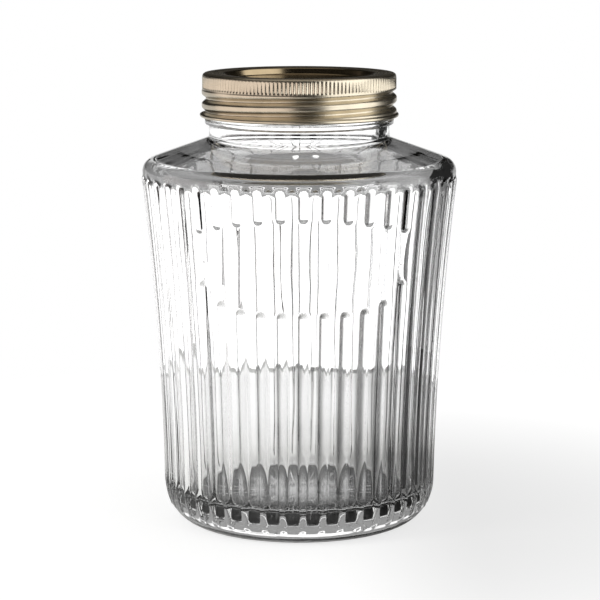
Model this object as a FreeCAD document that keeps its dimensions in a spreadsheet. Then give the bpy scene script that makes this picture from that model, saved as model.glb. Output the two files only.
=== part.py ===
"""A one-litre glass preserving jar with its two-piece metal closure: a flat lid disc with
a bonded seal ring, held down by a screw band.

The jar stands on the XY plane with its axis on +Z and its bare panel facing -Y. Sizes are
in millimetres. Every piece but the ribs is an outline turned about the axis. The ribs are
half-round beads that run up the flared wall: all but the front ones run from heel to
shoulder, and those in front stop above and below a smooth panel.
"""

import FreeCAD, Part

import math
import os

import Sketcher

SIZES = [
    # the glass, from the foot up
    ("push_up", 3.0, "height of the underside's middle above the table"),
    ("foot_width", 3.0, "width of the flat ring that the jar stands on"),
    ("foot_angle", 14.0, "how steeply the heel leaves the table, in degrees"),
    ("heel_height", 12.5, "height of the rounded heel"),
    ("base_diameter", 103.4, "over the ribs, at the top of the heel"),
    ("body_diameter", 119.1, "over the ribs, at the shoulder"),
    ("flare_sag", 1.5, "how far the wall bows inward between heel and shoulder"),
    ("shoulder_inset", 0.35, "how far the shoulder stays inside the ribs"),
    ("shoulder_round", 4.8, "radius of the shoulder's edge"),
    ("shoulder_slope", 19.8, "fall of the shoulder from neck to edge, in degrees"),
    ("neck_fillet", 1.6, "radius between shoulder and neck"),
    ("neck_height", 2.5, "height of the bare neck between that fillet and the collar"),
    ("neck_step", 0.2, "how far the neck stands outside the glass inside the band"),
    ("collar_height", 3.2, "height of the tapered collar under the band"),
    ("collar_reach", 1.8, "how far the collar stands outside the glass inside the band"),
    ("collar_gap", 1.0, "gap between the collar and the band above it"),
    ("rim_height", 169.8, "height of the glass rim"),
    ("rim_round", 0.9, "radius of the rim's outer edge"),
    # the hollow
    ("wall", 3.0, "thickness of the glass wall"),
    ("floor", 5.5, "thickness of the glass in the middle of the base"),
    ("floor_round", 9.0, "radius between the floor and the wall, inside"),
    ("mouth_diameter", 60.4, "bore of the mouth and neck"),
    ("mouth_wall", 3.6, "thickness of the glass inside the band"),
    # the ribs
    ("rib_count", 44, "ribs round the jar, had none been left out"),
    ("rib_round", 2.0, "radius of a rib's half-round section"),
    ("rib_height", 1.25, "how far a rib stands off the wall"),
    ("rib_top_drop", 1.2, "how far the ribs' upper ends stay below the shoulder's edge"),
    ("rib_foot_start", 16.5, "height below which the ribs turn in over the heel"),
    ("rib_foot_round", 23.3, "radius of that turn, over the rib"),
    ("rib_foot_turn", 24.0, "angle of that turn, in degrees"),
    # the bare panel in front
    ("panel_ribs", 11, "ribs that stop above and below the panel"),
    ("panel_drop", 12.8, "from the shoulder's edge down to the panel, in the middle"),
    ("panel_height", 33.3, "height of the panel, in the middle"),
    ("panel_top_fall", 5.3, "how much lower the panel's top is at the sides"),
    ("panel_foot_rise", 10.0, "how much higher the panel's foot is at the sides"),
    # the closure
    ("sheet", 0.3, "thickness of the tinplate"),
    ("seal_height", 0.7, "thickness of the seal ring"),
    ("seal_width", 3.6, "width of the seal ring"),
    ("lid_overhang", 0.35, "how far the lid disc stands outside the glass rim's wall"),
    ("lid_lip", 5.4, "width of the disc's flat edge, over the rim"),
    ("lid_step", 1.3, "how deep the disc's middle is sunk"),
    ("lid_slant", 0.9, "width of the slope down to the middle"),
    ("band_gap", 2.4, "room for the threads between the glass and the band"),
    ("flange_width", 7.9, "width of the band's flange over the disc"),
    ("band_edge", 1.1, "radius of the band's upper edge"),
    ("band_height", 16.5, "height of the band"),
    ("knurl_height", 5.4, "height of the band's knurled top"),
    ("skirt_step", 0.15, "how far the skirt stands outside the knurled top"),
    ("bead_round", 0.75, "radius of the rolled lower edge"),
    ("bead_reach", 0.95, "how far the rolled edge stands outside the knurled top"),
]

FLARE_BANDS = 4  # straight lengths that make up the bowed wall
FOOT_STEPS = 2  # straight lengths that make up each rib's turn over the heel
FRONT = -90.0  # direction of the panel's middle, in degrees about +Z

doc = FreeCAD.newDocument("preserving_jar")


# ---------------------------------------------------------------- sizes and expressions


def make_sheet():
    """The spreadsheet that drives the model: name, value and meaning in each row."""
    sheet = doc.addObject("Spreadsheet::Sheet", "sizes")
    for row, (alias, value, meaning) in enumerate(SIZES, start=1):
        sheet.set(f"A{row}", alias)
        sheet.set(f"B{row}", str(value))
        sheet.set(f"C{row}", meaning)
        sheet.setAlias(f"B{row}", alias)
    doc.recompute()
    return sheet


sheet = make_sheet()
size = sheet.get

# Places that several outlines share, as expressions of the sheet's cells.
HEEL_ROUND = "sizes.heel_height / cos(sizes.foot_angle)"
FINISH = "(sizes.mouth_diameter / 2 + sizes.mouth_wall)"
FOOT_OUTER = (
    "(sizes.base_diameter / 2 - sizes.rib_height"
    f" - {HEEL_ROUND} * (1 - sin(sizes.foot_angle)))"
)
EDGE_CENTRE = "(sizes.body_diameter / 2 - sizes.shoulder_inset - sizes.shoulder_round)"
FLOOR_TOP = "(sizes.push_up + sizes.floor)"
DISC_LOW = "(sizes.rim_height + sizes.seal_height)"
DISC_TOP = f"({DISC_LOW} + sizes.sheet)"
BAND_TOP = f"({DISC_TOP} + sizes.sheet)"
BAND_FOOT = f"({BAND_TOP} - sizes.band_height)"
BAND_OUTER = f"({FINISH} + sizes.band_gap + sizes.sheet)"
COLLAR_TOP = f"({BAND_FOOT} - sizes.collar_gap)"
NECK = f"({FINISH} + sizes.neck_step)"
NECK_FOOT = f"({COLLAR_TOP} - sizes.collar_height - sizes.neck_height)"
SLOPE_ACROSS = (
    f"({EDGE_CENTRE} + sizes.shoulder_round * sin(sizes.shoulder_slope)"
    f" - {NECK} - sizes.neck_fillet)"
)
SHOULDER = (
    f"({NECK_FOOT} - sizes.neck_fillet / cos(sizes.shoulder_slope)"
    f" - {SLOPE_ACROSS} * tan(sizes.shoulder_slope)"
    " - sizes.shoulder_round * cos(sizes.shoulder_slope))"
)
WALL_TOP = (
    f"({SHOULDER} - sqrt(pow(sizes.shoulder_round; 2)"
    " - pow(sizes.shoulder_round + sizes.shoulder_inset - sizes.rib_height; 2)))"
)


def flare_height(step):
    """The height of one of the wall's FLARE_BANDS + 1 rings, the lowest first."""
    share = step / FLARE_BANDS
    return f"(sizes.heel_height + ({WALL_TOP} - sizes.heel_height) * {share})"


def flare_radius(step, inward):
    """The radius of that ring, this far inside the tops of the ribs: a straight taper
    less a parabola, which bows the wall."""
    share = step / FLARE_BANDS
    bow = 4 * share * (1 - share)
    return (
        "((sizes.base_diameter"
        f" + (sizes.body_diameter - sizes.base_diameter) * {share}) / 2"
        f" - sizes.flare_sag * {bow} - {inward})"
    )


def slope_end(inward):
    """Where the shoulder's slope, moved square to itself by inward, leaves the round edge."""
    reach = f"(sizes.shoulder_round - {inward})"
    return (
        f"({EDGE_CENTRE} + {reach} * sin(sizes.shoulder_slope))",
        f"({SHOULDER} + {reach} * cos(sizes.shoulder_slope))",
    )


# ------------------------------------------------------------------------- outlines


def arc_centre(start, end, radius, turn):
    """The centre of the arc from start to end that turns left (1) or right (-1) by less
    than half a circle, or by more if turn is 2 or -2."""
    chord = end - start
    square = FreeCAD.Vector(-chord.y, chord.x, 0).normalize()
    reach = math.sqrt(max(radius**2 - chord.Length**2 / 4, 0.0))
    side = math.copysign(1, turn) * (1 if abs(turn) == 1 else -1)
    return (start + end) * 0.5 + square * reach * side


def draw(body, name, corners):
    """A closed sketch in the body's XZ plane, x out from the axis and y up. Each corner is
    (x, y), reached by a line, or (x, y, radius, turn), reached by an arc as arc_centre
    takes it. Corners and radii are expressions, and each becomes a constraint."""
    sketch = body.newObject("Sketcher::SketchObject", name)
    plane = [f for f in body.Origin.OriginFeatures if f.Role == "XZ_Plane"][0]
    sketch.AttachmentSupport = [(plane, "")]
    sketch.MapMode = "FlatFace"

    def number(expression):
        return float(sketch.evalExpression(expression))

    points = [FreeCAD.Vector(number(c[0]), number(c[1]), 0) for c in corners]
    ends = []  # the Sketcher's number for the far end of each line or arc
    for i, corner in enumerate(corners):
        start, end = points[i - 1], points[i]
        if len(corner) == 2:
            sketch.addGeometry(Part.LineSegment(start, end))
            ends.append(2)
            continue
        radius, turn = number(corner[2]), corner[3]
        centre = arc_centre(start, end, radius, turn)
        circle = Part.Circle(centre, FreeCAD.Vector(0, 0, 1), radius)
        first, last = (start, end) if turn > 0 else (end, start)
        angles = [math.atan2(p.y - centre.y, p.x - centre.x) for p in (first, last)]
        if angles[1] < angles[0]:
            angles[1] += 2 * math.pi
        sketch.addGeometry(Part.ArcOfCircle(circle, *angles))
        ends.append(2 if turn > 0 else 1)
    for i, corner in enumerate(corners):
        onward = (i + 1) % len(corners)
        sketch.addConstraint(
            Sketcher.Constraint("Coincident", i, ends[i], onward, 3 - ends[onward])
        )
        for axis, kind, expression in ((-2, "DistanceX", corner[0]), (-1, "DistanceY", corner[1])):
            if expression == "0":
                sketch.addConstraint(Sketcher.Constraint("PointOnObject", i, ends[i], axis))
                continue
            place = points[i].x if kind == "DistanceX" else points[i].y
            made = sketch.addConstraint(
                Sketcher.Constraint(kind, -1, 1, i, ends[i], place)
            )
            sketch.setExpression(f"Constraints[{made}]", expression)
        if len(corner) == 4:
            made = sketch.addConstraint(
                Sketcher.Constraint("Radius", i, number(corner[2]))
            )
            sketch.setExpression(f"Constraints[{made}]", corner[2])
    return sketch


def turned(name, corners):
    """A PartDesign body: the outline turned once round the axis."""
    body = doc.addObject("PartDesign::Body", name)
    sketch = draw(body, f"{name}_outline", corners)
    turn = body.newObject("PartDesign::Revolution", f"{name}_turned")
    turn.Profile = sketch
    turn.ReferenceAxis = (sketch, ["V_Axis"])
    turn.Angle = 360
    body.Label = name
    return body


# ------------------------------------------------------------------------- the glass


def glass_outline():
    """The outside of the glass without its ribs, filled to the axis."""
    return [
        ("0", "sizes.push_up"),
        (f"{FOOT_OUTER} - sizes.foot_width", "0"),
        (FOOT_OUTER, "0"),
        (flare_radius(0, "sizes.rib_height"), flare_height(0), HEEL_ROUND, 1),
        *[
            (flare_radius(step, "sizes.rib_height"), flare_height(step))
            for step in range(1, FLARE_BANDS + 1)
        ],
        (*slope_end("0"), "sizes.shoulder_round", 1),
        (
            f"{NECK} + sizes.neck_fillet * (1 - sin(sizes.shoulder_slope))",
            f"{NECK_FOOT} - sizes.neck_fillet * cos(sizes.shoulder_slope)",
        ),
        (NECK, NECK_FOOT, "sizes.neck_fillet", -1),
        (NECK, f"{COLLAR_TOP} - sizes.collar_height"),
        (f"{FINISH} + sizes.collar_reach", COLLAR_TOP),
        (FINISH, COLLAR_TOP),
        (FINISH, "sizes.rim_height - sizes.rim_round"),
        (f"{FINISH} - sizes.rim_round", "sizes.rim_height", "sizes.rim_round", 1),
        ("0", "sizes.rim_height"),
    ]


def hollow_outline():
    """The space inside the glass, run out through the mouth."""
    across, up = slope_end("sizes.wall")
    neck_up = f"({up} + ({across} - sizes.mouth_diameter / 2) * tan(sizes.shoulder_slope))"
    inside = "(sizes.rib_height + sizes.wall)"
    return [
        ("0", FLOOR_TOP),
        (f"{flare_radius(0, inside)} - sizes.floor_round", FLOOR_TOP),
        (flare_radius(0, inside), f"{FLOOR_TOP} + sizes.floor_round", "sizes.floor_round", 1),
        *[
            (flare_radius(step, inside), flare_height(step))
            for step in range(1, FLARE_BANDS + 1)
        ],
        (across, up, "sizes.shoulder_round - sizes.wall / 2", 1),
        ("sizes.mouth_diameter / 2", neck_up),
        ("sizes.mouth_diameter / 2", "sizes.rim_height + sizes.wall"),
        ("0", "sizes.rim_height + sizes.wall"),
    ]


class RibPath:
    """Where the middle of a rib's round section runs, in the plane of the rib."""

    def __init__(self):
        self.rings = [
            (
                self.number(flare_radius(step, "sizes.rib_round")),
                self.number(flare_height(step)),
            )
            for step in range(FLARE_BANDS + 1)
        ]

    def number(self, expression):
        return float(doc.getObject("glass_outside").evalExpression(expression))

    def at(self, height):
        """The point of the path at this height, between two rings of the wall."""
        pairs = list(zip(self.rings, self.rings[1:]))
        below, above = next((p for p in pairs if height <= p[1][1]), pairs[-1])
        share = (height - below[1]) / (above[1] - below[1])
        return FreeCAD.Vector(below[0] + (above[0] - below[0]) * share, 0, height)

    def between(self, low, high):
        """The path's points from one height to another, with no very short last length."""
        apart = size("rib_round")
        inner = [z for _, z in self.rings if low + apart < z < high - apart]
        return [self.at(z) for z in (low, *inner, high)]

    def foot(self):
        """The points of the turn over the heel, the lowest first."""
        start = self.at(size("rib_foot_start"))
        radius = size("rib_foot_round") - size("rib_round")
        centre = start - FreeCAD.Vector(radius, 0, 0)
        points = []
        for step in range(FOOT_STEPS, 0, -1):
            angle = math.radians(size("rib_foot_turn") * step / FOOT_STEPS)
            points.append(
                centre + FreeCAD.Vector(math.cos(angle), 0, -math.sin(angle)) * radius
            )
        return points


def bead(points):
    """A round bar along these points, with a ball at each end. The seams of its faces, and
    the balls' poles, are turned to where they lie inside the wall."""
    path = Part.Wire([Part.makeLine(a, b) for a, b in zip(points, points[1:])])
    onward = points[1] - points[0]
    inward = FreeCAD.Vector(-onward.z, 0, onward.x).normalize()
    ring = Part.makeCircle(size("rib_round"), points[0], onward)
    start = ring.Vertexes[0].Point - points[0]
    ring.rotate(points[0], onward, math.degrees(start.getAngle(inward)))
    bar = path.makePipeShell([Part.Wire([ring])], True, False, 1)
    poles_aside = FreeCAD.Rotation(FreeCAD.Vector(0, 1, 1), 180)
    balls = []
    for end in (points[0], points[-1]):
        ball = Part.makeSphere(size("rib_round"))
        ball.Placement = FreeCAD.Placement(end, poles_aside)
        balls.append(ball)
    return bar.fuse(balls)


def at_rib(shape, number):
    """The shape moved from +X to the place of one rib, counted from the front."""
    moved = shape.copy()
    moved.rotate(
        FreeCAD.Vector(0, 0, 0),
        FreeCAD.Vector(0, 0, 1),
        FRONT + number * 360 / size("rib_count"),
    )
    return moved


def make_ribs():
    """Every rib, as one compound. Each is a bead sunk in the wall up to rib_height. Those
    in front come in two lengths, and their ends trace the panel's curved edges."""
    path = RibPath()
    sunk = size("rib_round") - size("rib_height")
    cap = math.sqrt(size("rib_round") ** 2 - sunk**2)
    shoulder = path.number(SHOULDER)
    start, top = size("rib_foot_start"), shoulder - size("rib_top_drop") - cap
    whole = bead(path.foot() + path.between(start, top))
    panel_top = shoulder - size("panel_drop")
    panel_foot = panel_top - size("panel_height")
    reach = int(size("panel_ribs")) // 2
    ribs = [
        at_rib(whole, number)
        for number in range(reach + 1, int(size("rib_count")) - reach)
    ]
    for number in range(-reach, reach + 1):
        aside = abs(number) / reach
        upper = panel_top - size("panel_top_fall") * aside**2 + cap
        lower = panel_foot + size("panel_foot_rise") * aside**5 - cap
        ribs.append(at_rib(bead(path.between(upper, top)), number))
        ribs.append(at_rib(bead(path.foot() + path.between(start, lower)), number))
    feature = doc.addObject("Part::Feature", "ribs")
    feature.Shape = Part.makeCompound(ribs)
    feature.Placement = FreeCAD.Placement()
    return feature


def make_jar():
    """The glass: outside and ribs in one, less the hollow. The outside's seam is turned to
    lie midway between two ribs."""
    outside = turned("glass_outside", glass_outline())
    outside.Placement.Rotation.Axis = FreeCAD.Vector(0, 0, 1)
    outside.setExpression("Placement.Rotation.Angle", "180 / sizes.rib_count * 1 deg")
    hollow = turned("glass_hollow", hollow_outline())
    doc.recompute()
    ribbed = doc.addObject("Part::MultiFuse", "ribbed_outside")
    ribbed.Shapes = [outside, make_ribs()]
    doc.recompute()
    missing = size("body_diameter") - ribbed.Shape.optimalBoundingBox(True, False).XLength
    if missing > size("rib_height"):
        raise RuntimeError("the glass came out without its ribs")
    jar = doc.addObject("Part::Cut", "glass_jar")
    jar.Base = ribbed
    jar.Tool = hollow
    jar.Label = "glass_jar"
    return jar


# ----------------------------------------------------------------------- the closure


def make_seal():
    """The soft ring bonded under the lid disc, which lies on the glass rim."""
    inner = f"({FINISH} - sizes.seal_width)"
    return turned(
        "seal_ring",
        [
            (inner, "sizes.rim_height"),
            (FINISH, "sizes.rim_height"),
            (FINISH, DISC_LOW),
            (inner, DISC_LOW),
        ],
    )


def make_disc():
    """The flat lid: an edge that lies on the seal ring, and a sunk middle."""
    outer = f"({FINISH} + sizes.lid_overhang)"
    lip = f"({outer} - sizes.lid_lip)"
    middle = f"({lip} - sizes.lid_slant)"
    return turned(
        "lid_disc",
        [
            ("0", f"{DISC_LOW} - sizes.lid_step"),
            (middle, f"{DISC_LOW} - sizes.lid_step"),
            (lip, DISC_LOW),
            (outer, DISC_LOW),
            (outer, DISC_TOP),
            (f"{lip} - sizes.sheet / 2", DISC_TOP),
            (f"{middle} - sizes.sheet / 2", f"{DISC_TOP} - sizes.lid_step"),
            ("0", f"{DISC_TOP} - sizes.lid_step"),
        ],
    )


def make_band():
    """The screw band: a flange over the disc's edge, a knurled top, a skirt round the
    threads and a rolled lower edge."""
    opening = f"({BAND_OUTER} - sizes.flange_width)"
    skirt_outer = f"({BAND_OUTER} + sizes.skirt_step)"
    skirt_inner = f"({skirt_outer} - sizes.sheet)"
    knurl_foot = f"({BAND_TOP} - sizes.knurl_height)"
    slope = "(sizes.skirt_step * 2)"
    bead_across = f"({BAND_OUTER} + sizes.bead_reach - sizes.bead_round)"
    bead_up = f"({BAND_FOOT} + sizes.bead_round)"

    def on_bead(across):
        """How far above or below the bead's middle its circle passes this radius."""
        return f"sqrt(pow(sizes.bead_round; 2) - pow({across} - {bead_across}; 2))"

    return turned(
        "screw_band",
        [
            (opening, DISC_TOP),
            (f"{BAND_OUTER} - sizes.band_edge", DISC_TOP),
            (
                f"{BAND_OUTER} - sizes.sheet",
                f"{BAND_TOP} - sizes.band_edge",
                "sizes.band_edge - sizes.sheet",
                -1,
            ),
            (f"{BAND_OUTER} - sizes.sheet", knurl_foot),
            (skirt_inner, f"{knurl_foot} - {slope}"),
            (skirt_inner, f"{bead_up} - {on_bead(skirt_inner)}"),
            (skirt_outer, f"{bead_up} + {on_bead(skirt_outer)}", "sizes.bead_round", 2),
            (skirt_outer, f"{knurl_foot} - {slope}"),
            (BAND_OUTER, knurl_foot),
            (BAND_OUTER, f"{BAND_TOP} - sizes.band_edge"),
            (f"{BAND_OUTER} - sizes.band_edge", BAND_TOP, "sizes.band_edge", 1),
            (opening, BAND_TOP),
        ],
    )


# ------------------------------------------------------------------------- the parts


def check_and_write(pieces):
    """Recomputes the document, checks every object and writes each piece's STEP file."""
    doc.recompute()
    for item in doc.Objects:
        if {"Invalid", "Error"} & set(item.State):
            raise RuntimeError(f"{item.Label} failed: {item.State}")
    os.makedirs("parts", exist_ok=True)
    for piece in pieces:
        if piece.Shape.isNull() or not piece.Shape.isValid():
            raise RuntimeError(f"{piece.Label} has no valid shape")
        if len(piece.Shape.Solids) != 1:
            raise RuntimeError(f"{piece.Label} has {len(piece.Shape.Solids)} solids")
        piece.Shape.exportStep(os.path.join("parts", f"{piece.Label}.step"))
        box = piece.Shape.optimalBoundingBox(True, False)
        print(
            f"{piece.Label}: {box.XLength:.2f} x {box.YLength:.2f} x {box.ZLength:.2f} mm,"
            f" {piece.Shape.Volume / 1000:.2f} cm3, {len(piece.Shape.Faces)} faces"
        )


check_and_write([make_jar(), make_seal(), make_disc(), make_band()])
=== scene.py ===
"""A one-litre glass preserving jar with a screw band and a flat lid, dressed in Blender.

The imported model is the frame: it gives the jar's place and size. The glass, the band and
the lid are worked out again here as finer surfaces of revolution, with the ribs, the knurl
and the rolled thread that the solids leave plain. Lengths in the formulas are millimetres,
and the properties hold metres.
"""

import math

import bpy
import numpy as np
from bpy.props import FloatProperty, FloatVectorProperty, IntProperty, PointerProperty
from bpy.types import Operator, Panel, PropertyGroup
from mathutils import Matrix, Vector


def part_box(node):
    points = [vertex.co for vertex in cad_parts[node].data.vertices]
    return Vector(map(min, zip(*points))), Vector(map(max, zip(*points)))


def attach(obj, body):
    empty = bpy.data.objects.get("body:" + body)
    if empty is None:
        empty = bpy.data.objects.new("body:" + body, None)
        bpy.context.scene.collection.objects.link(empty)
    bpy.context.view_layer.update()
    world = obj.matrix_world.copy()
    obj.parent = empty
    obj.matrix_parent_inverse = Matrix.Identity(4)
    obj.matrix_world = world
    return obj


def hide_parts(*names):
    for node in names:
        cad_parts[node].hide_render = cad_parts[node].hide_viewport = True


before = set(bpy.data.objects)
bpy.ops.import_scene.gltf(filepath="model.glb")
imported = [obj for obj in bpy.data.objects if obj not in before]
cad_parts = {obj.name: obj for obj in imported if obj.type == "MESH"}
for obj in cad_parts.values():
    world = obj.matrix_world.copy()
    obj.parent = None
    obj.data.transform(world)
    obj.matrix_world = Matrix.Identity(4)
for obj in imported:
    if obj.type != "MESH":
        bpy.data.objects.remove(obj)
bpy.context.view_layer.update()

bl_info = {
    "name": "Preserving Jar",
    "version": (1, 0, 0),
    "blender": (4, 5, 0),
    "location": "3D View > Sidebar > Preserving Jar",
    "description": "Dresses the ribbed preserving jar: glass, screw band, lid and stage",
    "category": "Object",
}

MM = 0.001
GLASS_LOW, GLASS_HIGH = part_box("glass_jar")
BAND_LOW, BAND_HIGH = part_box("screw_band")
LID_LOW, LID_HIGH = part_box("lid_disc")


def linear(hex_colour):
    """The linear RGB of an sRGB colour written as hex."""
    parts = [int(hex_colour[i : i + 2], 16) / 255 for i in (1, 3, 5)]
    return [p / 12.92 if p <= 0.04045 else ((p + 0.055) / 1.055) ** 2.4 for p in parts]


def length(name, description, default):
    """A property for a length, with its default in millimetres."""
    return FloatProperty(
        name=name, description=description, default=default * MM, unit="LENGTH", precision=5
    )


def colour(name, description, default):
    """A property for a colour, with its default in sRGB hex."""
    return FloatVectorProperty(
        name=name, description=description, default=linear(default), subtype="COLOR",
        size=3, min=0, max=1,
    )


# ------------------------------------------------------------------------ properties


class JarGlassSettings(PropertyGroup):
    rib_count: IntProperty(
        name="Ribs", description="Ribs round the jar, had none been left out", default=44
    )
    panel_ribs: IntProperty(
        name="Panel ribs", description="Ribs that stop above and below the panel", default=11
    )
    rib_round: length("Rib radius", "Radius of a rib's half-round section", 2.0)
    rib_height: length("Rib height", "How far a rib stands off the wall", 1.25)
    rib_blend: length("Rib blend", "Softness of the corner where a rib meets the wall", 0.3)
    base_radius: length("Base radius", "Over the ribs, at the top of the heel", 51.7)
    flare_sag: length("Sag", "How far the wall bows inward", 1.5)
    wall: length("Wall", "Thickness of the glass wall", 3.0)
    ripple: length("Ripple", "Unevenness of the inside, as blown glass has it", 0.10)
    tint: colour("Tint", "Colour of the clear glass", "#FFFFFF")


class ScrewBandSettings(PropertyGroup):
    flutes: IntProperty(name="Flutes", description="Flutes of the knurled top", default=148)
    flute_depth: length("Flute depth", "Depth of the knurl", 0.45)
    thread_pitch: length("Thread pitch", "Rise of the rolled thread in one turn", 5.0)
    thread_depth: length("Thread depth", "Depth of the rolled thread", 0.8)
    sheet: length("Sheet", "Thickness of the tinplate", 0.3)
    lacquer: colour("Lacquer", "Colour of the lacquered tinplate", "#CDC3AF")


class LidSettings(PropertyGroup):
    step: length("Step", "How deep the lid's middle is sunk", 2.4)
    lacquer: colour("Lacquer", "Colour of the lid's lacquer", "#A08F72")
    seal: colour("Seal", "Colour of the seal ring", "#B9B4AA")


class StageSettings(PropertyGroup):
    camera_distance: length("Camera distance", "From the jar's axis", 902.4)
    camera_height: length("Camera height", "Above the floor", 234.5)
    aim_height: length("Aim height", "Height on the axis that the camera aims at", 84.4)
    camera_side: FloatProperty(
        name="Camera side", description="Camera's turn about the axis, from the front",
        default=math.radians(-1.49), subtype="ANGLE",
    )
    lens: FloatProperty(
        name="Lens", description="Focal length, for a 36 mm sensor", default=143.9
    )
    shift: FloatProperty(
        name="Shift", description="Sideways shift of the view, as a share of its width",
        default=0.0011666667, precision=5,
    )
    floor: colour("Floor", "Colour of the plain floor", "#F4F4F2")


# ---------------------------------------------------------------------- mesh helpers


def to_mesh(name, points, faces, material, node):
    """An object of these points, in millimetres, that stands for one CAD node."""
    mesh = bpy.data.meshes.new(name)
    mesh.from_pydata((points * MM).tolist(), [], faces)
    mesh.polygons.foreach_set("use_smooth", np.ones(len(mesh.polygons), dtype=bool))
    mesh.materials.append(material)
    mesh.update()
    piece = bpy.data.objects.new(name, mesh)
    bpy.context.scene.collection.objects.link(piece)
    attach(piece, "root")
    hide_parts(node)


def ring_faces(rows, columns, first=0, closed=False):
    """The quads of a grid of rows by columns whose columns go all the way round. With
    closed, the last row joins the first one. Numbers start at first."""
    row = np.arange(rows if closed else rows - 1)[:, None]
    column = np.arange(columns)[None, :]
    after = (column + 1) % columns
    up = (row + 1) % rows
    quads = np.stack(
        [
            row * columns + column,
            row * columns + after,
            up * columns + after,
            up * columns + column,
        ],
        axis=-1,
    )
    return (quads.reshape(-1, 4) + first).tolist()


def fan_faces(pole, ring, columns, opening):
    """The triangles between a pole and a ring. opening is True where the rows leave the
    pole and False where they run into it."""
    column = np.arange(columns)
    after = (column + 1) % columns
    pair = (after, column) if opening else (column, after)
    fan = np.stack([np.full(columns, pole), ring + pair[0], ring + pair[1]], axis=-1)
    return fan.tolist()


def coarser_faces(fine, coarse, columns, ratio):
    """The triangles between a ring of columns * ratio points and the next one of columns."""
    faces = []
    for step in range(ratio):
        column = np.arange(columns)
        a = fine + column * ratio + step
        b = fine + (column * ratio + step + 1) % (columns * ratio)
        near = coarse + (column + (step >= ratio // 2)) % columns
        faces.append(np.stack([a, b, near], axis=-1))
        if step == ratio // 2 - 1:
            after = coarse + (column + 1) % columns
            faces.append(np.stack([b, after, near], axis=-1))
    return np.concatenate(faces).tolist()


def arc(centre, radius, start, end, count):
    """count points (across, up) of an arc, with its angles in degrees from outward."""
    angle = np.radians(np.linspace(start, end, count))
    return np.stack([centre[0] + radius * np.cos(angle), centre[1] + radius * np.sin(angle)], -1)


def rounded(corners, steps):
    """An outline whose corners (across, up, radius) are rounded: each is replaced by an
    arc that touches both of its lines, or by a quadratic curve of about that size."""
    points = [np.array(c[:2], float) for c in corners]
    out = [points[0][None]]
    for before, here, after, corner in zip(points, points[1:], points[2:], corners[1:]):
        back, on = before - here, after - here
        lengths = np.hypot(*back), np.hypot(*on)
        turn = np.arccos(np.clip(back @ on / (lengths[0] * lengths[1]), -1, 1))
        reach = min(corner[2] / max(np.tan(turn / 2), 1e-6), *(0.49 * np.array(lengths)))
        if corner[2] == 0:
            out.append(here[None])
            continue
        a, b = here + back / lengths[0] * reach, here + on / lengths[1] * reach
        t = np.linspace(0, 1, steps + 1)[:, None]
        out.append((1 - t) ** 2 * a + 2 * t * (1 - t) * here + t**2 * b)
    out.append(points[-1][None])
    return np.concatenate(out)


def soft_larger(a, b, blend):
    """The larger of two heights, with its crease rounded over about the length blend."""
    return 0.5 * (a + b + np.sqrt((a - b) ** 2 + blend**2))


def smooth_step(x, low, high):
    """0 below low, 1 above high, and a smooth rise between them."""
    t = np.clip((x - low) / (high - low), 0, 1)
    return t * t * (3 - 2 * t)


# ------------------------------------------------------------------------- the glass


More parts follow.
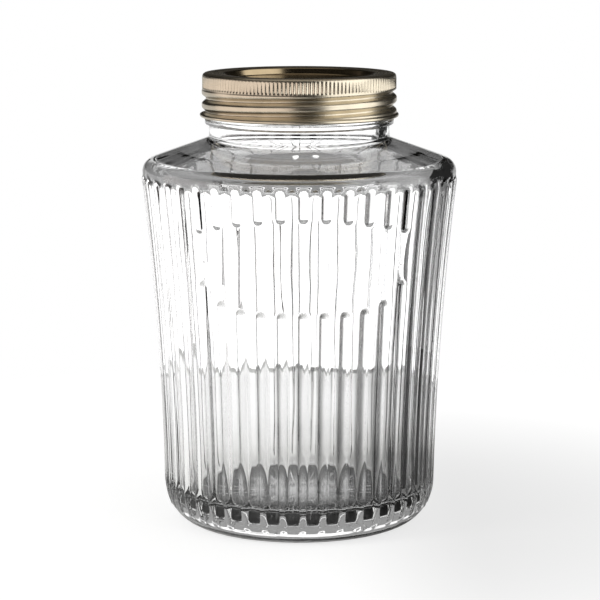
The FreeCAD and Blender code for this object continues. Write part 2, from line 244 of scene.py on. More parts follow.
class GlassShape:
    """The jar's surfaces, in millimetres. The wall over the ribs is a straight taper less
    a parabola. A rib is the tube of rib_round about a line that much inside it, with
    round ends, and its height above the wall is what shows."""

    # the underside: its height in the middle, and the radii between which it comes down
    under_middle, under_low, under_high = 1.0, 28.5, 37.8
    # the heel's arc, from the foot up to the wall; its angle is in degrees
    heel_top, heel_centre, heel_round, foot_angle = 12.5, 37.57, 12.883, 76.0
    # the wall's top, and the ribs' ends and the turn of their feet
    wall_top, rib_top, rib_foot = 131.53, 131.28, 7.84
    foot_start, foot_turn = 16.5, 21.3
    # the panel: heights in its middle, and how far they bend at its sides
    panel_top, panel_foot, top_fall, foot_rise = 121.5, 88.2, 5.3, 10.0
    # the shoulder: its rounded edge, where the arches start, and its slope in degrees
    edge_centre, edge_round, arch_low, slope = (54.4, 134.33), 4.8, 126.0, 19.8
    # the neck, the collar and the finish: radii, and the collar's heights
    neck, collar, finish = 34.0, 35.6, 33.8
    collar_low, collar_top = 150.4, 153.6
    # inside: the bore's radius, and the floor's height and rounded corner
    bore, floor_up, floor_round = 30.2, 12.5, 6.5
    # the columns' distances from a rib's middle, and the radius where they hold
    offsets = np.array([0, 0.6, 1.1, 1.45, 1.7, 1.9, 2.2, 3.0])
    offsets_radius = 56

    def __init__(self, settings):
        self.ribs = settings.rib_count
        self.reach = settings.panel_ribs // 2
        self.rib_round = settings.rib_round / MM
        self.rib_height = settings.rib_height / MM
        self.blend = settings.rib_blend / MM
        self.low = settings.base_radius / MM
        self.high = (GLASS_HIGH.x - GLASS_LOW.x) / 2 / MM
        self.sag = settings.flare_sag / MM
        self.wall = settings.wall / MM
        self.ripple = settings.ripple / MM
        self.rim = GLASS_HIGH.z / MM
        self.pitch = 2 * math.pi / self.ribs

    def crest(self, up):
        """The radius over the ribs: low + (high - low) s - 4 sag s (1 - s), where s runs
        from 0 at the heel to 1 at the top of the wall."""
        s = (np.clip(up, 0, self.wall_top) - self.heel_top) / (self.wall_top - self.heel_top)
        return self.low + (self.high - self.low) * s - 4 * self.sag * s * (1 - s)

    def inner(self, up):
        """The radius of the hollow in the wall."""
        return float(self.crest(up)) - self.rib_height - self.wall

    def columns(self):
        """Angles of the columns: for each rib, one on its middle, seven at set distances
        each side of it, and one midway to the next rib."""
        reach = self.offsets / self.offsets_radius
        one = np.concatenate([-reach[:0:-1], reach, [self.pitch / 2]])
        start = -math.pi / 2
        return (start + np.arange(self.ribs)[:, None] * self.pitch + one).ravel()

    def panel_edges(self, angle):
        """The heights of the panel's foot and top at this angle. The top falls as a
        parabola to the sides, and the foot rises steeply only near them."""
        turn = (angle + math.pi / 2 + math.pi) % (2 * math.pi) - math.pi
        aside = np.clip(np.abs(turn / self.pitch) / self.reach, 0, 1)
        return (
            self.panel_foot + self.foot_rise * aside**5,
            self.panel_top - self.top_fall * aside**2,
        )

    def wall_rows(self, angle):
        """Heights of the wall's rows, rows by columns. They crowd where ribs end, and
        follow the panel's edges round the front."""
        foot, top = self.panel_edges(angle)
        flat = np.ones_like(angle)
        knots = [
            (self.heel_top * flat, 5),
            (18 * flat, 8),
            (foot - 3.2, 8),
            (foot + 0.6, 4),
            (top - 0.6, 8),
            (top + 3.2, 3),
            (127.5 * flat, 10),
            (self.edge_centre[1] * flat, 0),
        ]
        rows = []
        for (start, count), (end, _) in zip(knots, knots[1:]):
            rows += [start + (end - start) * i / count for i in range(count)]
        return np.array(rows + [knots[-1][0]])

    def land(self, up, aside):
        """The radius of the bare wall between ribs. Under the shoulder the edge's arc
        hangs lower beside the ribs than midway, so that each channel ends in an arch.
        aside is the distance from the nearest rib's middle as a share of half a pitch."""
        wall = self.crest(up) - self.rib_height
        # The arc hangs 1.75 times its height at a rib and 0.75 times midway.
        stretch = 1.75 - np.sin(np.pi / 2 * np.clip(aside * 1.05, 0, 1)) ** 1.5
        drop = np.clip((self.edge_centre[1] - up) / stretch, 0, self.edge_round)
        edge = self.edge_centre[0] + np.sqrt(self.edge_round**2 - drop**2)
        return soft_larger(wall, np.where(up > self.arch_low, edge, wall - 3), 0.12)

    def ribbed(self, up, angle, base):
        """base, a radius at each point, raised where a rib stands on it."""
        turn = (angle + math.pi / 2 + self.pitch / 2) % (2 * math.pi) - self.pitch / 2
        number = np.round(turn / self.pitch)
        across = np.sin(turn - number * self.pitch) * base
        number = np.where(number > self.ribs / 2, number - self.ribs, number)
        cap = math.sqrt(self.rib_round**2 - (self.rib_round - self.rib_height) ** 2)
        middle = self.panel_edges(number * self.pitch - math.pi / 2)
        turned_in = np.clip(self.foot_start - up, 0, self.foot_start - self.rib_foot)
        line = self.crest(np.maximum(up, self.foot_start)) - self.rib_round
        line = line - self.foot_turn + np.sqrt(self.foot_turn**2 - turned_in**2)
        past_foot = np.maximum(self.rib_foot - up, 0)
        past_top = np.maximum(up - self.rib_top, 0)
        in_panel = np.minimum(up - (middle[0] - cap), (middle[1] + cap) - up)
        gap = np.where(np.abs(number) <= self.reach, np.maximum(in_panel, 0), 0)
        beyond = np.maximum(np.maximum(past_foot, past_top), gap)
        apart = np.hypot(across, beyond)
        inside = np.sqrt(np.maximum(self.rib_round**2 - apart**2, 0))
        tube = line + np.where(apart < self.rib_round, inside, self.rib_round - apart)
        return soft_larger(base, tube, self.blend)

    def neck_outline(self, edge):
        """The outline from the end of the shoulder's edge to the rim."""
        neck_foot = edge[1] + (edge[0] - self.neck) * math.tan(math.radians(self.slope))
        return rounded(
            [
                (edge[0], edge[1], 0),
                (self.neck, neck_foot, 1.6),
                (self.neck, self.collar_low + 1.2, 0.25),
                (self.collar - 0.1, self.collar_low + 1.7, 0.4),
                (self.collar, self.collar_top, 0.35),
                (self.finish, self.collar_top, 0.3),
                (self.finish, self.rim, 0.9),
                (31.5, self.rim, 0),
            ],
            5,
        )

    def outside(self):
        """The outside as rows by columns, from the underside to the rim: the nearly flat
        underside, the foot, the heel's arc and the wall with its ribs, then the plain
        shoulder, neck, collar and finish."""
        angle = self.columns()
        under = np.array([9, 18, 26, 30, 32, 34, 35.5, 36.6, 37.4])
        rise = 1 - smooth_step(under, self.under_low, self.under_high)
        under = np.stack([under, self.under_middle * rise], -1)
        foot = rounded([(37.4, 0.03, 0), (38.0, 0, 0.3), (40.6, 0, 0.3), (41.2, 0.2, 0)], 2)
        heel = arc((self.heel_centre, self.heel_top), self.heel_round, -self.foot_angle, 0, 16)
        lathe = np.concatenate([under, foot[1:-1], heel[:-1]])
        radius = np.repeat(lathe[:, :1], len(angle), 1)
        up = np.repeat(lathe[:, 1:], len(angle), 1)
        # Rows above 0.8 mm take the ribs' feet. The underside's middle rows are among
        # them, so they run out to the heel and the underside folds back from there.
        radius = np.where(up > 0.8, self.ribbed(up, angle, radius), radius)
        walls = self.wall_rows(angle)
        turn = (angle + math.pi / 2) / self.pitch
        aside = np.abs(turn - np.round(turn)) * 2
        wall_radius = self.ribbed(walls, angle, self.land(walls, aside))
        edge = arc(self.edge_centre, self.edge_round, 0, 90 - self.slope, 8)[1:]
        top = self.neck_outline(edge[-1])
        slope = np.linspace(edge[-1], top[1], 4)[1:-1]
        plain = np.concatenate([edge, slope, top[1:]])
        radius = np.concatenate([radius, wall_radius, np.repeat(plain[:, :1], len(angle), 1)])
        up = np.concatenate([up, walls, np.repeat(plain[:, 1:], len(angle), 1)])
        return np.stack([radius * np.cos(angle), radius * np.sin(angle), up], -1)

    def inside(self):
        """The inside as rows by a quarter of the columns, from the rim down to the floor:
        the bore, the underside of the shoulder, the wall and the rounded floor, with the
        slow waves of blown glass on it."""
        angle = self.columns()[::4]
        wall_heights = np.linspace(128.0, 25.0, 18)
        wall = np.stack([[self.inner(up) for up in wall_heights], wall_heights], -1)
        head = rounded(
            [
                (31.0, self.rim, 0),
                (self.bore, self.rim, 0.8),
                (self.bore, 156.0, 0),
                (self.bore, 142.9, 3.0),
                (44.0, 138.4, 20.0),
                (55.2, 134.9, 8.0),
                (self.inner(128.5), 128.5, 0),
            ],
            7,
        )
        low = self.floor_up
        floor_corner = rounded(
            [
                (self.inner(24.0), 24.0, 0), (self.inner(low), low, self.floor_round),
                (34.0, low, 0), (24.0, low, 0),
            ],
            9,
        )
        middle = np.array([[16.0, low], [8.0, low]])
        lathe = np.concatenate([head[:-1], wall, floor_corner[:-1], middle])
        radius, up = lathe[:, :1], lathe[:, 1:]
        waves = np.sin(3 * angle + up / 31) * np.sin(up / 13)
        waves = waves + 0.6 * np.sin(7 * angle - up / 19 + 1.3) * np.sin(up / 8 + 0.5)
        fade = smooth_step(up, 9, 22) * (1 - smooth_step(up, 124, 140))
        radius = radius + self.ripple * waves * fade
        up = up + 0 * angle
        return np.stack([radius * np.cos(angle), radius * np.sin(angle), up], -1)


class JAR_OT_glass(Operator):
    """Makes the ribbed glass as one closed surface"""

    bl_idname = "preserving_jar.glass"
    bl_label = "Glass"

    def execute(self, context):
        shape = GlassShape(context.scene.jar_glass)
        outside, inside = shape.outside(), shape.inside()
        many, few = outside.shape[1], inside.shape[1]
        second = outside.shape[0] * many
        last = second + inside.shape[0] * few
        poles = [[0, 0, shape.under_middle], [0, 0, shape.floor_up]]
        points = np.concatenate([outside.reshape(-1, 3), inside.reshape(-1, 3), poles])
        faces = (
            ring_faces(outside.shape[0], many)
            + coarser_faces(second - many, second, few, many // few)
            + ring_faces(inside.shape[0], few, second)
            + fan_faces(last, 0, many, True)
            + fan_faces(last + 1, last - few, few, False)
        )
        to_mesh("jar_glass", points, faces, flint_glass(context), "glass_jar")
        return {"FINISHED"}


# ---------------------------------------------------------------------- the closure


THREAD_START = 161.5  # height of a crest of the rolled thread on the +X side
BAND_SIDE = 36.5  # radius of the band's side, over the knurl's ridges and the skirt
BEAD = 0.75  # radius of the rolled lower edge
KNURL_DROP = 5.7  # from the band's top down to the knurl's foot
STEPS_A_FLUTE = 6


def rolled_thread(settings, up, angle, fade):
    """What the thread adds to the radius, faded out near the skirt's ends. The upper fade
    starts at the height fade. The crests are broad and the grooves between them narrow,
    and the thread climbs to the right as any right-hand screw does."""
    foot, knurl_foot = BAND_LOW.z / MM, BAND_HIGH.z / MM - KNURL_DROP
    pitch, depth = settings.thread_pitch / MM, settings.thread_depth / MM
    phase = (up - THREAD_START) / pitch - angle / (2 * math.pi)
    roll = 1 - 2 * ((1 - np.cos(2 * math.pi * phase)) / 2) ** 2
    on_skirt = smooth_step(up, foot + 1.1, foot + 2.0)
    on_skirt = on_skirt * (1 - smooth_step(up, fade, knurl_foot - 0.1))
    return depth * (roll - 0.75) * on_skirt


def band_surface(settings):
    """The band as one closed sheet, rows by columns: the flange from the opening outward,
    the knurled top, the rolled thread, the rolled edge and back up inside.

    The knurl takes depth * (1 - |cos|) off the radius, so its flutes are round and its
    ridges narrow."""
    top, foot = BAND_HIGH.z / MM, BAND_LOW.z / MM
    knurl_foot = top - KNURL_DROP
    columns = settings.flutes * STEPS_A_FLUTE
    angle = np.arange(columns) * 2 * math.pi / columns
    flange = rounded(
        [
            (28.6, top - 0.75, 0),
            (28.6, top - 0.28, 0.25),
            (29.4, top - 0.22, 0.5),
            (32.2, top - 0.2, 0.6),
            (33.0, top, 0.5),
            (BAND_SIDE, top, 2.3),
            (BAND_SIDE, top - 4.8, 0),
        ],
        4,
    )
    knurl = np.stack([np.full(4, BAND_SIDE), np.linspace(top - 4.9, knurl_foot, 4)], -1)
    skirt = np.linspace(knurl_foot - 0.25, foot + 1.7, 40)
    skirt = np.stack([np.full(40, BAND_SIDE), skirt], -1)
    bead = (BAND_HIGH.x - BAND_LOW.x) / 2 / MM - BEAD
    edge = arc((bead, foot + BEAD), BEAD, 75, -120, 9)
    lathe = np.concatenate([flange, knurl, skirt, edge])
    radius = np.repeat(lathe[:, :1], columns, 1)
    up = np.repeat(lathe[:, 1:], columns, 1)
    sides = 1 - np.abs(np.cos(angle * settings.flutes / 2))
    knurled = smooth_step(up, knurl_foot - 0.1, knurl_foot + 0.6)
    knurled = knurled * (1 - smooth_step(up, top - 2.2, top - 1.3))
    radius = radius - settings.flute_depth / MM * sides * knurled * (radius > 35.5)
    radius = radius + rolled_thread(settings, up, angle, knurl_foot - 0.9) * (radius > 36)
    sheet = settings.sheet / MM
    inner_up = np.concatenate([np.linspace(foot + 0.5, top - 1.2, 24), [top - 0.6, top - 0.32]])
    inner = np.concatenate([np.full(24, 36.1 - sheet), [35.9 - sheet, 34.8]])
    inner_radius = np.repeat(inner[:, None], columns, 1)
    inner_up = np.repeat(inner_up[:, None], columns, 1)
    inner_radius = inner_radius + rolled_thread(settings, inner_up, angle, knurl_foot - 0.7)
    under = np.array([[33.0, top - 0.46], [29.2, top - 0.5], [28.95, top - 0.75]])
    radius = np.concatenate([radius, inner_radius, np.repeat(under[:, :1], columns, 1)])
    up = np.concatenate([up, inner_up, np.repeat(under[:, 1:], columns, 1)])
    # The rows run from the opening outward and down, so they are turned round to make
    # the faces point outward.
    radius, up = radius[::-1], up[::-1]
    return np.stack([radius * np.cos(angle), radius * np.sin(angle), up], -1)


class JAR_OT_band(Operator):
    """Makes the screw band with its knurl, thread and rolled edge"""

    bl_idname = "preserving_jar.band"
    bl_label = "Screw band"

    def execute(self, context):
        grid = band_surface(context.scene.jar_band)
        rows, columns = grid.shape[:2]
        faces = ring_faces(rows, columns, closed=True)
        metal = lacquered_tinplate("Gold_lacquered_tinplate", context.scene.jar_band.lacquer, 0.27)
        to_mesh("band_metal", grid.reshape(-1, 3), faces, metal, "screw_band")
        return {"FINISHED"}


LID_SHEET = 0.3  # thickness of the lid's tinplate
LID_COLUMNS = 192


def lid_surface(settings):
    """The lid as one closed sheet: an edge over the seal, a rounded step down to the flat
    sunk middle, and the same shape underneath."""
    top, outer = LID_HIGH.z / MM, (LID_HIGH.x - LID_LOW.x) / 2 / MM
    low = top - settings.step / MM
    over = rounded(
        [
            (6.0, low, 0), (20.0, low, 0), (27.3, low, 0.6), (28.1, top, 0.5),
            (outer, top, 0.1), (outer, top - LID_SHEET, 0),
        ],
        5,
    )
    under = rounded(
        [
            (outer, top - LID_SHEET, 0), (28.3, top - LID_SHEET, 0.5),
            (27.5, low - LID_SHEET, 0.5), (20.0, low - LID_SHEET, 0),
            (6.0, low - LID_SHEET, 0),
        ],
        5,
    )
    lathe = np.concatenate([over, under[1:]])[::-1]
    angle = np.arange(LID_COLUMNS) * 2 * math.pi / LID_COLUMNS
    radius, up = lathe[:, :1], lathe[:, 1:] + 0 * angle
    return np.stack([radius * np.cos(angle), radius * np.sin(angle), up], -1)


class JAR_OT_lid(Operator):
    """Makes the flat lid and gives the seal ring under it its finish"""

    bl_idname = "preserving_jar.lid"
    bl_label = "Lid and seal"

    def execute(self, context):
        settings = context.scene.jar_lid
        grid = lid_surface(settings)
        rows, columns = grid.shape[:2]
        low = LID_HIGH.z / MM - settings.step / MM
        points = np.concatenate([grid.reshape(-1, 3), [[0, 0, low - LID_SHEET], [0, 0, low]]])
        faces = (
            ring_faces(rows, columns)
            + fan_faces(rows * columns, 0, columns, True)
            + fan_faces(rows * columns + 1, (rows - 1) * columns, columns, False)
        )
        metal = lacquered_tinplate("Gold_lacquered_lid_tinplate", settings.lacquer, 0.16)
        to_mesh("lid_plate", points, faces, metal, "lid_disc")
        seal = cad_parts["seal_ring"]
        seal.data.materials.clear()
        seal.data.materials.append(plastisol(settings.seal))
        return {"FINISHED"}


# ------------------------------------------------------------------------- finishes


def add(nodes, kind, settings=None, **links):
    """A node of this kind, with its settings set and its inputs linked or filled. A link's
    key is the input's name with _ for a space, or its number after the letter i."""
    node = nodes.new(kind)
    for key, value in (settings or {}).items():
        setattr(node, key, value)
    for key, value in links.items():
        numbered = key[0] == "i" and key[1:].isdigit()
        socket = node.inputs[int(key[1:])] if numbered else node.inputs[key.replace("_", " ")]
        if isinstance(value, bpy.types.NodeSocket):
            nodes.id_data.links.new(value, socket)
        else:
            socket.default_value = value
    return node


def blank(name):
    """An empty node material, its nodes and its surface output."""
    material = bpy.data.materials.new(name)
    material.use_nodes = True
    nodes = material.node_tree.nodes
    nodes.clear()
    return material, nodes, nodes.new("ShaderNodeOutputMaterial")


def rgba(three):
    return (*three, 1.0)


def grey(level):
    """An opaque linear grey."""
    return rgba([level] * 3)


def maths(nodes, operation, *values):
    """The result of a maths node of this operation on numbers or sockets."""
    links = {f"i{number}": value for number, value in enumerate(values)}
    return add(nodes, "ShaderNodeMath", {"operation": operation}, **links).outputs[0]


def ramp(nodes, value, start, end, low=0.0, high=1.0, kind="LINEAR"):
    """low up to start and high from end on, with a rise between them that is straight, or
    rounded where kind is SMOOTHSTEP."""
    return add(
        nodes, "ShaderNodeMapRange", {"interpolation_type": kind}, Value=value,
        From_Min=start, From_Max=end, To_Min=low, To_Max=high,
    ).outputs[0]


def layered(nodes, share, under, over):
    """The colour under, covered by the colour over to this share."""
    return add(
        nodes, "ShaderNodeMix", {"data_type": "RGBA"}, i0=share, i6=under, i7=over
    ).outputs[2]


def noise(nodes, place, size, **settings):
    """Noise with features of about size millimetres."""
    return add(
        nodes, "ShaderNodeTexNoise", Vector=place, Scale=1 / (size * MM), **settings
    ).outputs[0]


def bump(nodes, height, strength, depth):
    """The normal of a surface with this relief, depth millimetres deep."""
    return add(
        nodes, "ShaderNodeBump", Strength=strength, Distance=depth * MM, Height=height
    ).outputs[0]


def two_tones(nodes, value, darker, tone, start, end):
    """A tone, darkened by a factor where value is at start or less."""
    tones = add(nodes, "ShaderNodeValToRGB", Fac=value)
    low, high = tones.color_ramp.elements
    low.position, low.color = start, rgba([c * darker for c in tone])
    high.position, high.color = end, rgba(tone)
    return tones.outputs[0]


def flint_glass(context):
    """Clear soda-lime glass blown in an iron mould. The mould leaves it very slightly
    rippled, which bends what shows through it."""
    material, nodes, out = blank("Flint_glass_mould_blown")
    place = add(nodes, "ShaderNodeTexCoord").outputs["Object"]
    # Slow waves of about 9 mm, longer up the jar than round it, as the gob stretches.
    stretched = add(nodes, "ShaderNodeMapping", Vector=place, Scale=(1, 1, 0.55)).outputs[0]
    waves = noise(nodes, stretched, 9, Detail=1.5, Roughness=0.4)
    glass = add(
        nodes, "ShaderNodeBsdfPrincipled", Base_Color=rgba(context.scene.jar_glass.tint),
        Roughness=0.0, IOR=1.52, Transmission_Weight=1.0,
        Normal=bump(nodes, waves, 0.35, 0.10),
    )
    nodes.id_data.links.new(glass.outputs[0], out.inputs[0])
    return material


def lacquered_tinplate(name, tone, roughness):
    """Tinplate under a clear gold lacquer, drawn and rolled to shape: a satin metal with
    faint rings from the rolls and a slightly mottled sheen."""
    material, nodes, out = blank(name)
    place = add(nodes, "ShaderNodeTexCoord").outputs["Object"]
    x, y, z = add(nodes, "ShaderNodeSeparateXYZ", Vector=place).outputs
    flat = add(nodes, "ShaderNodeCombineXYZ", X=x, Y=y).outputs[0]
    across = add(nodes, "ShaderNodeVectorMath", {"operation": "LENGTH"}, i0=flat)
    # Rings 0.25 mm apart, coarser than a roll's real marks so that they show.
    rings_at = add(nodes, "ShaderNodeCombineXYZ", X=across.outputs["Value"], Z=z).outputs[0]
    rings = noise(nodes, rings_at, 0.25, Detail=2.0)
    # Mottle of 6 mm, where the lacquer lies thicker.
    mottle = noise(nodes, place, 6, Detail=3.0)
    metal = add(
        nodes, "ShaderNodeBsdfPrincipled", Metallic=1.0,
        Base_Color=two_tones(nodes, mottle, 0.86, tone, 0.3, 0.7),
        Roughness=ramp(nodes, rings, 0.3, 0.7, roughness - 0.05, roughness + 0.07),
        Normal=bump(nodes, rings, 0.12, 0.02),
    )
    nodes.id_data.links.new(metal.outputs[0], out.inputs[0])
    return material


def plastisol(tone):
    """Plastisol, the soft rubbery compound of a canning lid's seal: matt, with a faint
    grain from its mould."""
    material, nodes, out = blank("Plastisol_seal")
    place = add(nodes, "ShaderNodeTexCoord").outputs["Object"]
    grain = noise(nodes, place, 0.8, Detail=3.0)
    soft = add(
        nodes, "ShaderNodeBsdfPrincipled", Roughness=0.55,
        Base_Color=two_tones(nodes, grain, 0.85, tone, 0.0, 1.0),
        Normal=bump(nodes, grain, 0.3, 0.05),
    )
    nodes.id_data.links.new(soft.outputs[0], out.inputs[0])
    return material


# ---------------------------------------------------------------------------- stage


# The studio round the jar: bearing from the front, positive to the right, and height above
# the horizon, each from and to, softness (all in degrees), brightness and colour.
# As gloss on metal and glass shows it:
GLOSS_STUDIO = [
    # the white backdrop, which is low
    (150, 260, -90, 1, 3, 0.75, "#FFFFFF"),
    # the tall cream-lit wall on the left
    (-118, -10, -60, 16, 5, 1.3, "#FFF4F0"),
    # the bright box on the right
    (31, 104, -60, 48, 5, 2.0, "#FFFFFF"),
    # the ceiling, for what looks up
    (0, 360, 52, 90, 6, 0.4, "#FFF8EE"),
]
# As what has come through the glass shows it:
GLASS_STUDIO = [
    # the grey ceiling, all round above the horizon
    (0, 360, 4, 90, 3, 0.30, "#FFFFFF"),
    # the white backdrop and left side
    (125, 300, -90, 2, 4, 1.5, "#FFFFFF"),
    # the bright box on the right
    (31, 93, -12, 48, 5, 1.4, "#FFFFFF"),
]
STUDIO_DARK = "#22211F"
MATT_LIGHT = 0.7  # brightness of the even light on matt surfaces


def window(nodes, value, low, high, soft):
    """1 where value is between low and high, with soft edges."""
    rise = ramp(nodes, value, low - soft, low + soft, kind="SMOOTHSTEP")
    fall = ramp(nodes, value, high - soft, high + soft, 1.0, 0.0, "SMOOTHSTEP")
    return maths(nodes, "MULTIPLY", rise, fall)


def studio(nodes, bearing, rise, boxes):
    """The colour of the dark studio and its boxes of light in one direction."""
    tone = rgba(linear(STUDIO_DARK))
    for left, right, low, high, soft, strength, hue in boxes:
        if right > 180:  # it runs across the back, where the bearing jumps
            gap = window(nodes, bearing, right - 360, left, soft)
            across = maths(nodes, "SUBTRACT", 1.0, gap)
        else:
            across = window(nodes, bearing, left, right, soft)
        share = maths(nodes, "MULTIPLY", across, window(nodes, rise, low, high, soft))
        tone = layered(nodes, share, tone, rgba([c * strength for c in linear(hue)]))
    return tone


def make_world():
    """Even light for matt surfaces, white for the camera, and for gloss and glass a dark
    studio with its softboxes and white backdrop."""
    world = bpy.data.worlds.new("studio")
    bpy.context.scene.world = world
    world.use_nodes = True
    nodes = world.node_tree.nodes
    nodes.clear()
    toward = add(nodes, "ShaderNodeTexCoord").outputs["Generated"]
    x, y, z = add(nodes, "ShaderNodeSeparateXYZ", Vector=toward).outputs
    bearing = maths(nodes, "ARCTAN2", x, maths(nodes, "MULTIPLY", y, -1.0))
    bearing = maths(nodes, "DEGREES", bearing)
    rise = maths(nodes, "DEGREES", maths(nodes, "ARCSINE", z))
    path = add(nodes, "ShaderNodeLightPath").outputs
    shown = layered(nodes, path["Is Camera Ray"], grey(MATT_LIGHT), grey(1.0))
    for ray, boxes in (("Is Glossy Ray", GLOSS_STUDIO), ("Is Transmission Ray", GLASS_STUDIO)):
        shown = layered(nodes, path[ray], shown, studio(nodes, bearing, rise, boxes))
    background = add(nodes, "ShaderNodeBackground", Color=shown, Strength=1.0)
    out = add(nodes, "ShaderNodeOutputWorld")
    nodes.id_data.links.new(background.outputs[0], out.inputs[0])


# Radii on the floor, in metres: the jar's foot, inside which the floor is painted with shadow and
# glow, and the floor's edge with its dark rim of painted shade.
FOOT_RADIUS = (0.036, 0.04)
SHADE_RIM_RADIUS = (0.285, 0.29)
FLOOR_RADIUS = 0.3


def floor_finish(tone):
    """Matt white laminate. The camera sees it lifted to the backdrop's white, wholly at
    its edge and by 0.7 near the jar, where it keeps the jar's shadow. Its colour carries
    painted shade: darker on the jar's right side and in a dark rim at its edge, and black
    under the jar as a painted shadow. Under the jar a painted glow, stronger towards the
    back, stands in for the light that the glass lets through. Through the glass its far
    end shows nearly as white, up to the painted dark rim, and its right side lies in
    painted shade."""
    material, nodes, out = blank("Matt_white_laminate")
    path = add(nodes, "ShaderNodeLightPath").outputs
    place = add(nodes, "ShaderNodeTexCoord").outputs["Object"]
    side, back, _ = add(nodes, "ShaderNodeSeparateXYZ", Vector=place).outputs
    away = add(nodes, "ShaderNodeVectorMath", {"operation": "LENGTH"}, i0=place)
    away = away.outputs["Value"]
    lifted = ramp(nodes, away, 0.06, 0.29, 0.7, 1.0, "SMOOTHSTEP")
    share = maths(nodes, "MULTIPLY", lifted, path["Is Camera Ray"])
    # Under the jar, painted light: a glow that stands in for the light its glass lets through,
    # more of it towards the back.
    covered = ramp(nodes, away, *FOOT_RADIUS, 1.0, 0.0)
    through = maths(nodes, "MULTIPLY", ramp(nodes, back, -0.03, 0.03), covered)
    share = maths(nodes, "MAXIMUM", share, through)
    # The table's colour is darkened on the jar's right, painted shade which its glass picks up.
    shade = ramp(nodes, side, 0.0, 0.07, 1.0, 0.25, "SMOOTHSTEP")
    # Its far end shows through the glass nearly as white as the backdrop, up to its rim of painted
    # shade.
    far = ramp(nodes, away, 0.09, 0.22, 0.0, 0.92, "SMOOTHSTEP")
    rim = ramp(nodes, away, *SHADE_RIM_RADIUS, 1.0, 0.0)
    for part in (shade, rim, path["Is Transmission Ray"]):
        far = maths(nodes, "MULTIPLY", far, part)
    share = maths(nodes, "MAXIMUM", share, far)
    # Painted shade in the matt colour: darker at the rim and on the right, and black under the jar
    # as a painted shadow.
    painted_shade = ramp(nodes, rim, 0.0, 1.0, 0.55, 1.0)
    for part in (shade, maths(nodes, "SUBTRACT", 1.0, covered)):
        painted_shade = maths(nodes, "MULTIPLY", painted_shade, part)
    lit = layered(nodes, painted_shade, grey(0.0), rgba(tone))
    matt = add(nodes, "ShaderNodeBsdfDiffuse", Color=lit)
    glow = add(nodes, "ShaderNodeEmission", Color=grey(1.0), Strength=1.08)
    mixed = add(
        nodes, "ShaderNodeMixShader", i0=share, i1=matt.outputs[0], i2=glow.outputs[0]
    )
    nodes.id_data.links.new(mixed.outputs[0], out.inputs[0])
    return material


def stage_sheet(name, corners, material):
    """A flat sheet of the stage with these corners, in metres."""
    mesh = bpy.data.meshes.new(name)
    mesh.from_pydata(corners, [], [list(range(len(corners)))])
    mesh.materials.append(material)
    piece = bpy.data.objects.new(name, mesh)
    bpy.context.scene.collection.objects.link(piece)
    return piece


def disc(name, radius, up, material):
    """A flat disc of the stage, in metres, facing up."""
    count = 96
    angle = np.arange(count) * 2 * math.pi / count
    ring = np.stack([radius * np.cos(angle), radius * np.sin(angle), np.full(count, up)], -1)
    stage_sheet(name, ring.tolist(), material)


def card(name, across, tone):
    """An upright dark card at the jar's right, in metres, that is seen only through glass,
    where it darkens that side as painted shade. It stands on the floor from a little in
    front of the jar's axis to behind the jar."""
    front, back, height = -0.03, 0.12, 0.16
    material, nodes, out = blank(name.capitalize())
    # Its face is a near-black glow: painted shade, which only the glass shows.
    face = add(nodes, "ShaderNodeEmission", Color=grey(tone), Strength=1.0)
    nodes.id_data.links.new(face.outputs[0], out.inputs[0])
    outline = [(front, 0), (back, 0), (back, height), (front, height)]
    piece = stage_sheet(name, [(across, y, z) for y, z in outline], material)
    piece.visible_camera = piece.visible_diffuse = False
    piece.visible_glossy = piece.visible_shadow = False


def lamp(name, at, size, power, toward=(0, 0, 0.09)):
    """A square soft lamp at a place in metres, turned to the jar, that no gloss shows."""
    data = bpy.data.lights.new(name, "AREA")
    data.size, data.energy = size, power
    light = bpy.data.objects.new(name, data)
    bpy.context.scene.collection.objects.link(light)
    light.location = at
    aim = Vector(np.array(toward) - np.array(at))
    light.rotation_mode = "QUATERNION"
    light.rotation_quaternion = aim.to_track_quat("-Z", "Y")
    light.visible_glossy = light.visible_transmission = False


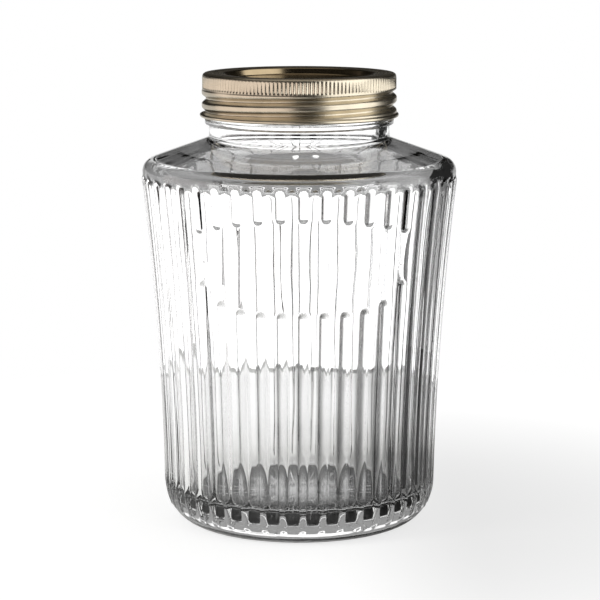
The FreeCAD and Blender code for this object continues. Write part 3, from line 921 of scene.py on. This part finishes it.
class JAR_OT_stage(Operator):
    """Sets up the camera, the floor, the lamps and the studio"""

    bl_idname = "preserving_jar.stage"
    bl_label = "Stage"

    def execute(self, context):
        settings = context.scene.jar_stage
        data = bpy.data.cameras.new("camera")
        data.lens, data.sensor_width = settings.lens, 36.0
        data.clip_start, data.clip_end = 0.01, 100
        camera = bpy.data.objects.new("camera", data)
        context.scene.collection.objects.link(camera)
        side = settings.camera_side
        camera.location = (
            math.sin(side) * settings.camera_distance,
            -math.cos(side) * settings.camera_distance,
            settings.camera_height,
        )
        aim = Vector((0, 0, settings.aim_height)) - camera.location
        camera.rotation_mode = "QUATERNION"
        camera.rotation_quaternion = aim.to_track_quat("-Z", "Y")
        data.shift_x = settings.shift
        context.scene.camera = camera
        disc("floor", FLOOR_RADIUS, 0.0, floor_finish(settings.floor))
        # Painted shade: a dark card that only the glass shows darkens the jar's right side.
        card("painted_shade_card", 0.085, 0.02)
        make_world()
        lamp("key_lamp", (-1.2, -0.7, 0.75), 0.5, 14)
        lamp("fill_lamp", (0.7, -1.1, 0.9), 0.9, 3)
        context.scene.view_settings.view_transform = "Standard"
        return {"FINISHED"}


# ----------------------------------------------------------------------- the add-on


class JAR_PT_panel(Panel):
    """The jar's sizes and the buttons that make its pieces"""

    bl_idname = "JAR_PT_panel"
    bl_label = "Preserving Jar"
    bl_space_type = "VIEW_3D"
    bl_region_type = "UI"
    bl_category = "Preserving Jar"

    def draw(self, context):
        for settings, operator in PIECES:
            box = self.layout.box()
            group = getattr(context.scene, settings)
            for name in group.__annotations__:
                box.prop(group, name)
            box.operator(operator.bl_idname)


PIECES = [
    ("jar_glass", JAR_OT_glass),
    ("jar_band", JAR_OT_band),
    ("jar_lid", JAR_OT_lid),
    ("jar_stage", JAR_OT_stage),
]
GROUPS = [JarGlassSettings, ScrewBandSettings, LidSettings, StageSettings]
CLASSES = [*GROUPS, *(operator for _, operator in PIECES), JAR_PT_panel]


def register():
    for kind in CLASSES:
        bpy.utils.register_class(kind)
    for (name, _), group in zip(PIECES, GROUPS):
        setattr(bpy.types.Scene, name, PointerProperty(type=group))


def unregister():
    for name, _ in PIECES:
        delattr(bpy.types.Scene, name)
    for kind in reversed(CLASSES):
        bpy.utils.unregister_class(kind)


def main():
    register()
    bpy.ops.preserving_jar.glass()
    bpy.ops.preserving_jar.band()
    bpy.ops.preserving_jar.lid()
    bpy.ops.preserving_jar.stage()


if __name__ == "__main__":
    main()
